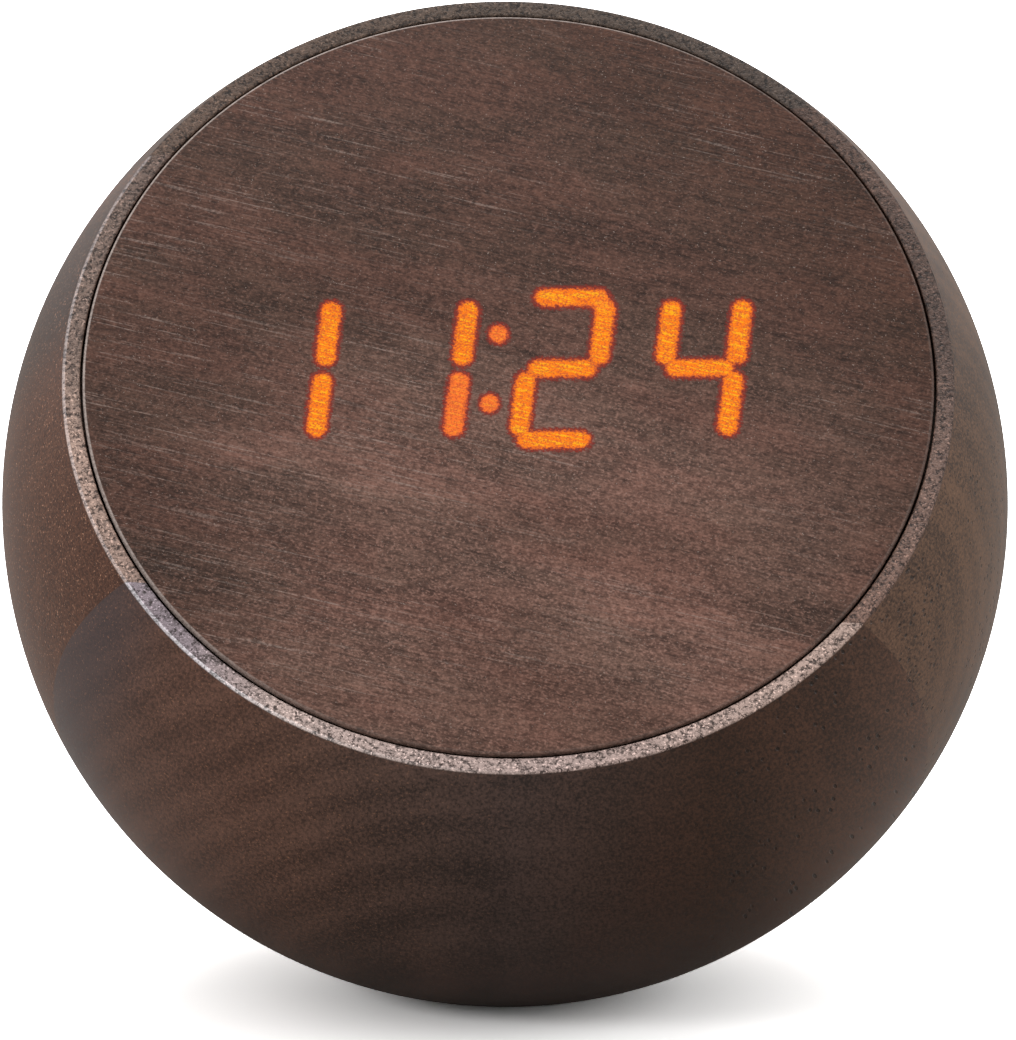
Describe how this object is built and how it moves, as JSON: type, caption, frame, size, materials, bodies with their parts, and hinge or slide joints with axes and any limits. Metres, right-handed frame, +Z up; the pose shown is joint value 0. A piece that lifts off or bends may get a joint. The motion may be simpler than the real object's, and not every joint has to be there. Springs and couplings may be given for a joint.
{
  "type": "ball alarm clock",
  "caption": "Wooden ball alarm clock with a flat tilted face, orange digits lit through the veneer, and push buttons, a slide switch and a charging socket on a rear cover.",
  "frame": {"origin": "centre of the foot pad's underside, where the ball stands", "axes": "+Z up, the tilted face looks toward -Y and the rear cover toward +Y, +X to the right of the face"},
  "size_m": [0.09, 0.0813, 0.0883],
  "materials": {
    "lower_wood": "satin walnut-stained wood, grain front to back",
    "middle_wood": "satin walnut-stained wood, end grain at the sides",
    "upper_wood": "satin walnut-stained wood, grain front to back",
    "face_wood": "thin satin veneer, grain across",
    "backing_wood": "bare board",
    "lit_window": "lit from behind",
    "unlit_window": "thin veneer over an unlit bar",
    "diffuser": "translucent white",
    "white_plastic": "moulded",
    "led_die": "phosphor",
    "green_board": "solder mask",
    "steel": "zinc plated",
    "tin_plate": "tin plated",
    "chip_black": "moulded",
    "frame_black": "moulded",
    "foam_tape": "foam",
    "cell_foil": "pouch foil",
    "cast_weight": "as cast",
    "cover_black": "fine grain",
    "key_grey": "satin",
    "foot_rubber": "matt",
    "red_wire": "insulation",
    "black_wire": "insulation"
  },
  "bodies": {
    "ball": {"shell_block_lower": "lower_wood", "shell_block_middle": "middle_wood", "shell_block_upper": "upper_wood", "foot_pad": "foot_rubber", "face_veneer": "face_wood", "face_board": "backing_wood", "lit_segments": "lit_window", "unlit_segments": "unlit_window", "segment_diffusers": "diffuser", "display_reflector": "white_plastic", "display_leds": "led_die", "display_board": "green_board", "display_board_screws": "steel", "display_driver": "chip_black", "inner_frame": "frame_black", "inner_frame_screws": "steel", "battery_tape": "foam_tape", "battery_cell": "cell_foil", "ballast_weight": "cast_weight", "ballast_screws": "steel", "rear_cover": "cover_black", "rear_cover_screws": "steel", "control_board": "green_board", "control_board_screws": "steel", "down_switch": "chip_black", "set_switch": "chip_black", "up_switch": "chip_black", "power_switch": "tin_plate", "socket_shell": "tin_plate", "socket_tongue": "chip_black", "buzzer": "chip_black", "microphone": "tin_plate", "temperature_sensor": "chip_black", "charge_lamp": "diffuser", "controller_chip": "chip_black", "quartz_crystal": "tin_plate", "display_socket": "white_plastic", "ribbon_socket": "white_plastic", "display_ribbon": "white_plastic", "battery_socket": "white_plastic", "battery_lead_red": "red_wire", "battery_lead_black": "black_wire"},
    "down_key": {"down_button": "key_grey", "down_plunger": "key_grey"},
    "set_key": {"set_button": "key_grey", "set_plunger": "key_grey"},
    "up_key": {"up_button": "key_grey", "up_plunger": "key_grey"},
    "slide_lever": {"power_lever": "key_grey"}
  },
  "joints": [
    {"name": "down_press", "type": "slide", "parent": "ball", "child": "down_key", "axis": [0, -1, 0], "range_m": [0, 0.0005], "stiffness_N_per_m": 900},
    {"name": "set_press", "type": "slide", "parent": "ball", "child": "set_key", "axis": [0, -1, 0], "range_m": [0, 0.0005], "stiffness_N_per_m": 900},
    {"name": "up_press", "type": "slide", "parent": "ball", "child": "up_key", "axis": [0, -1, 0], "range_m": [0, 0.0005], "stiffness_N_per_m": 900},
    {"name": "power_slide", "type": "slide", "parent": "ball", "child": "slide_lever", "axis": [-1, 0, 0], "range_m": [0, 0.002]}
  ]
}
